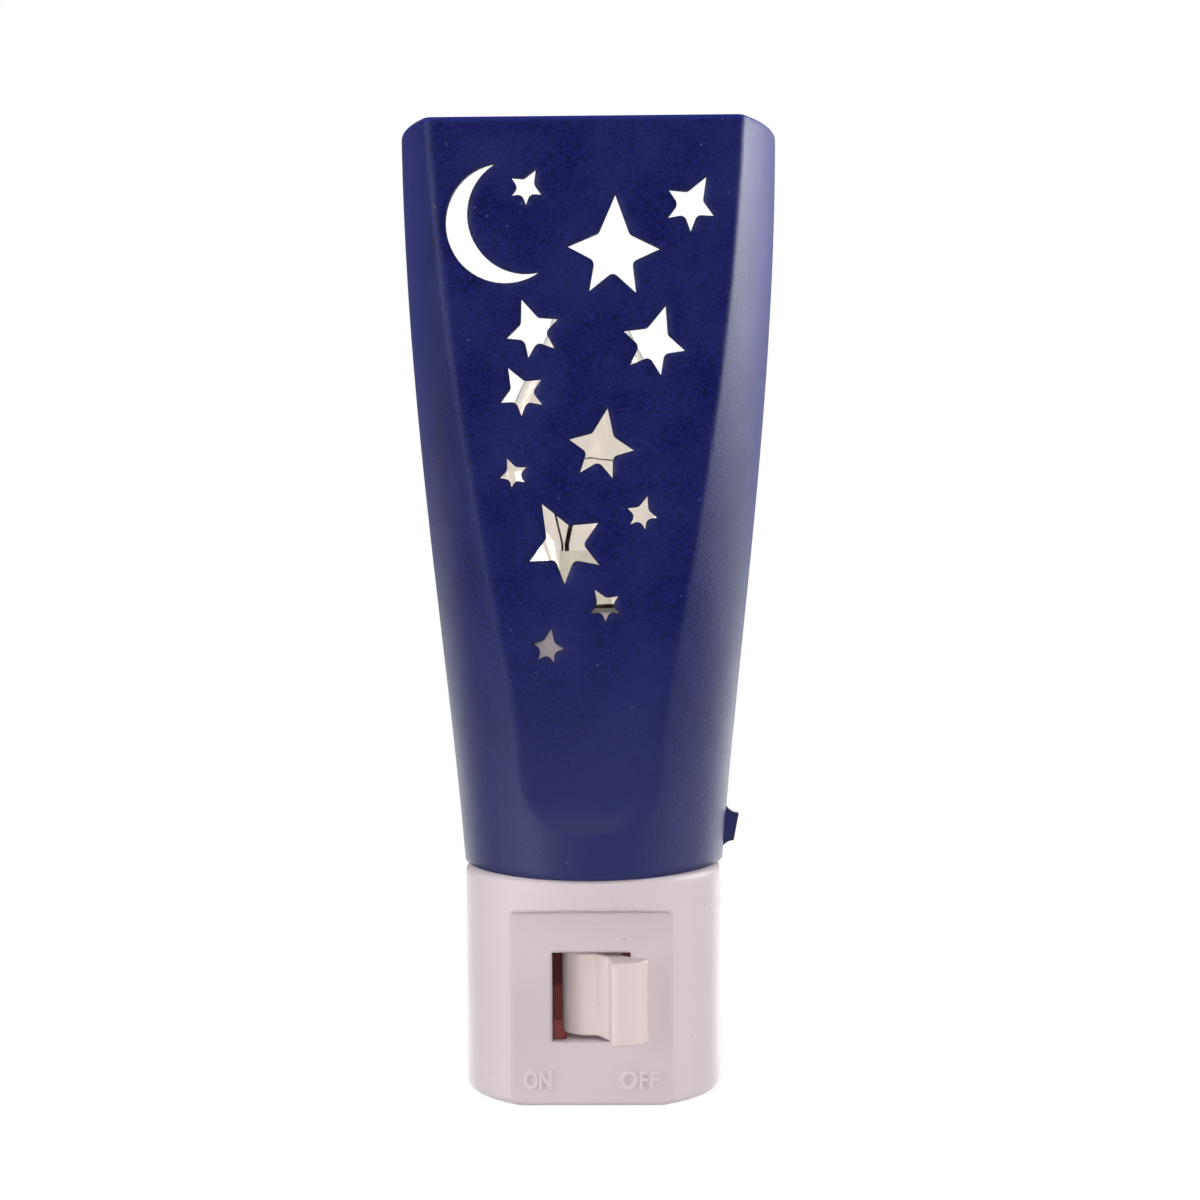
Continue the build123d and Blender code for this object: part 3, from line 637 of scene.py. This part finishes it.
# %% The second screw
bpy.ops.object.select_all(action="DESELECT")
screw.select_set(True)
bpy.context.view_layer.objects.active = screw
bpy.ops.object.duplicate(linked=False)
second_screw = bpy.context.object
second_screw.name = "case_screw_right"
second_screw.location.x = 2 * screw_side
bpy.ops.object.transform_apply(location=True, rotation=True, scale=True)
for piece in (screw, second_screw):
    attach(piece, "base")
    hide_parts("case_screws")
print(second_screw.name, "at", round(screw_side / MM, 2), "mm from the middle")

# %% [markdown]
# ## Rolled threads
# The lamp's cap and the screw shell are thin sheet metal with a thread rolled into it, ten
# turns to the inch. An open cylinder with many rings is the start. Each point then moves in or
# out by a wave that climbs one pitch with each turn round the axis, and the wave fades out
# towards both ends, where the sheet is plain.

# %% Threads
thread_pitch = 2.54 * MM
thread_fade = 1.2 * MM
tube_sides = 96
tube_rings = 72
smooth_angle = radians(40)
nearly_zero = 1e-6


def fade(height, low, high, run):
    """1 between two heights, falling softly to 0 over a run at both ends."""
    share = max(0.0, min(1.0, (height - low) / run, (high - height) / run))
    return share * share * (3 - 2 * share)


def threaded_tube(name, radius, relief, low, high, thread_low, thread_high):
    """An open cylinder whose thread reaches from its radius to the radius plus the relief."""
    bpy.ops.object.select_all(action="DESELECT")
    bpy.ops.mesh.primitive_cylinder_add(
        vertices=tube_sides,
        radius=radius,
        depth=high - low,
        end_fill_type="NOTHING",
        location=(lamp_axis.x, lamp_axis.y, (low + high) / 2),
    )
    tube = bpy.context.object
    tube.name = name
    bpy.ops.object.transform_apply(location=True, rotation=True, scale=True)
    bpy.ops.object.mode_set(mode="EDIT")
    bpy.ops.mesh.select_mode(type="EDGE")
    bpy.ops.mesh.select_all(action="DESELECT")
    bpy.ops.object.mode_set(mode="OBJECT")
    for edge in tube.data.edges:
        first, second = [tube.data.vertices[i].co.z for i in edge.vertices]
        edge.select = abs(first - second) > nearly_zero
    bpy.ops.object.mode_set(mode="EDIT")
    bpy.ops.mesh.subdivide(number_cuts=tube_rings)
    bpy.ops.object.mode_set(mode="OBJECT")
    for vertex in tube.data.vertices:
        flat = Vector((vertex.co.x, vertex.co.y - lamp_axis.y, 0))
        turn = flat.xy.angle_signed(Vector((1, 0))) / (2 * pi)
        wave = 0.5 - 0.5 * cos(2 * pi * ((vertex.co.z - low) / thread_pitch - turn))
        reach = relief * wave * fade(vertex.co.z, thread_low, thread_high, thread_fade)
        vertex.co += flat.normalized() * reach
    return tube


cap_low, cap_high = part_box("bulb_cap")
cap_radius = (cap_high.x - cap_low.x) / 2
cap_bevel = 1.2 * MM
cap_foot_radius = 4.4 * MM
cap_plain_top = 3.4 * MM
cap_plain_foot = 0.3 * MM
cap_relief = -0.45 * MM
sheet_wall = 0.3 * MM
cap_shoulder = cap_low.z + cap_bevel
cap = threaded_tube(
    "lamp_cap", cap_radius, cap_relief, cap_shoulder, cap_high.z,
    cap_shoulder + cap_plain_foot, cap_high.z - cap_plain_top,
)
bpy.ops.object.mode_set(mode="EDIT")
bpy.ops.mesh.select_mode(type="VERT")
bpy.ops.mesh.select_all(action="DESELECT")
bpy.ops.object.mode_set(mode="OBJECT")
for vertex in cap.data.vertices:
    vertex.select = abs(vertex.co.z - cap_shoulder) < nearly_zero
bpy.ops.object.mode_set(mode="EDIT")
bpy.ops.mesh.extrude_edges_move(TRANSFORM_OT_translate={"value": (0, 0, -cap_bevel)})
foot_share = cap_foot_radius / cap_radius
bpy.ops.transform.resize(value=(foot_share, foot_share, 1))
bpy.ops.mesh.edge_face_add()
bpy.ops.mesh.select_all(action="SELECT")
bpy.ops.mesh.normals_make_consistent(inside=False)
bpy.ops.object.mode_set(mode="OBJECT")
wall = cap.modifiers.new("sheet", "SOLIDIFY")
wall.thickness = sheet_wall
wall.offset = -1
bpy.ops.object.modifier_apply(modifier=wall.name)
bpy.ops.object.shade_smooth_by_angle(angle=smooth_angle)
cap.data.materials.append(cap_nickel)
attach(cap, "bulb")
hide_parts("bulb_cap")
print("lamp_cap", len(cap.data.polygons), "faces")

# %% Thread of the socket
shell_inside = 6.19 * MM
shell_relief = -0.2 * MM
shell_foot = 24.2 * MM
shell_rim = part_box("socket_shell")[1].z
shell_lip = 0.4 * MM
shell_plain_top = 1.4 * MM
shell_plain_foot = 0.6 * MM
shell_thread = threaded_tube(
    "shell_thread", shell_inside, shell_relief, shell_foot, shell_rim - shell_lip,
    shell_foot + shell_plain_foot, shell_rim - shell_plain_top,
)
wall = shell_thread.modifiers.new("sheet", "SOLIDIFY")
wall.thickness = sheet_wall
wall.offset = 1
bpy.ops.object.modifier_apply(modifier=wall.name)
bpy.ops.object.shade_smooth_by_angle(angle=smooth_angle)
shell_thread.data.materials.append(shell_brass)
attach(shell_thread, "base")
print("shell_thread", len(shell_thread.data.polygons), "faces")

# %% [markdown]
# ## Filament
# The wire that glows is a very fine coil, strung from one lead over two hooks to the other
# and bowed a little between the hooks. A ring as thick as the wire, carried round and up by a
# Screw modifier, gives a straight coil. A Curve modifier then lays the coil along the path.

# %% Filament coil
coil_radius = 0.09 * MM
wire_radius = 0.032 * MM
coil_pitch = 0.13 * MM
wire_sides = 6
turn_steps = 12
wire_smooth = radians(60)
hook_places = [(-1.7, 53.1), (-5.4, 56.5), (0.0, 57.05), (4.44, 56.5), (2.8, 53.1)]
hooks = [Vector((x * MM, lamp_axis.y, z * MM)) for x, z in hook_places]
path_length = sum((after - before).length for before, after in zip(hooks, hooks[1:]))

guide = bpy.data.objects.new("filament_path", bpy.data.curves.new("filament_path", "CURVE"))
guide.data.dimensions = "3D"
line = guide.data.splines.new("POLY")
line.points.add(len(hooks) - 1)
for point, place in zip(line.points, hooks):
    point.co = (*place, 1)
bpy.context.collection.objects.link(guide)

bpy.ops.object.select_all(action="DESELECT")
bpy.ops.mesh.primitive_circle_add(
    vertices=wire_sides,
    radius=wire_radius,
    location=(coil_radius, 0, 0),
    rotation=(pi / 2, 0, 0),
)
coil = bpy.context.object
coil.name = "filament_coil"
bpy.ops.object.transform_apply(location=True, rotation=True, scale=True)
winding = coil.modifiers.new("winding", "SCREW")
winding.axis = "Z"
winding.screw_offset = coil_pitch
winding.iterations = int(path_length / coil_pitch)
winding.steps = turn_steps
winding.render_steps = turn_steps
bpy.ops.object.modifier_apply(modifier=winding.name)
bpy.ops.object.mode_set(mode="EDIT")
bpy.ops.mesh.select_all(action="SELECT")
bpy.ops.mesh.fill_holes(sides=0)
bpy.ops.mesh.normals_make_consistent(inside=False)
bpy.ops.object.mode_set(mode="OBJECT")
lay = coil.modifiers.new("lay", "CURVE")
lay.object = guide
lay.deform_axis = "POS_Z"
bpy.ops.object.modifier_apply(modifier=lay.name)
bpy.data.objects.remove(guide)
bpy.ops.object.shade_smooth_by_angle(angle=wire_smooth)
coil.data.materials.append(filament_grey)
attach(coil, "bulb")
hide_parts("filament")
print("filament_coil", len(coil.data.polygons), "faces along", round(path_length / MM, 1), "mm")

# %% [markdown]
# ## Fit the finishes
# Each solid keeps its shape and only gets its material. The solids come as triangles that are
# joined within a face of the original, so smooth shading rounds a curved face and leaves the
# edges between faces crisp.

# %% Finishes on the solids
finishes = {
    "front_housing": housing_white,
    "back_cover": housing_white,
    "blade_line": blade_brass,
    "blade_neutral": blade_brass,
    "line_contact": strip_bronze,
    "lamp_contact": strip_bronze,
    "neutral_strip": strip_bronze,
    "centre_contact": strip_bronze,
    "moving_contact": strip_bronze,
    "strip_rivets": shell_brass,
    "socket_shell": shell_brass,
    "fibre_plate": red_fibre,
    "switch_lever": lever_white,
    "cap_contact": tip_solder,
    "cap_insulator": black_glass,
    "bulb_glass": clear_glass,
    "bulb_stem": stem_glass,
    "lead_wires": lead_nickel,
    "support_wires": lead_nickel,
    "shade": shade_blue,
}
for name, finish in finishes.items():
    nodes[name].data.materials.clear()
    nodes[name].data.materials.append(finish)
    for face in nodes[name].data.polygons:
        face.use_smooth = True
print(len(finishes), "solids finished")
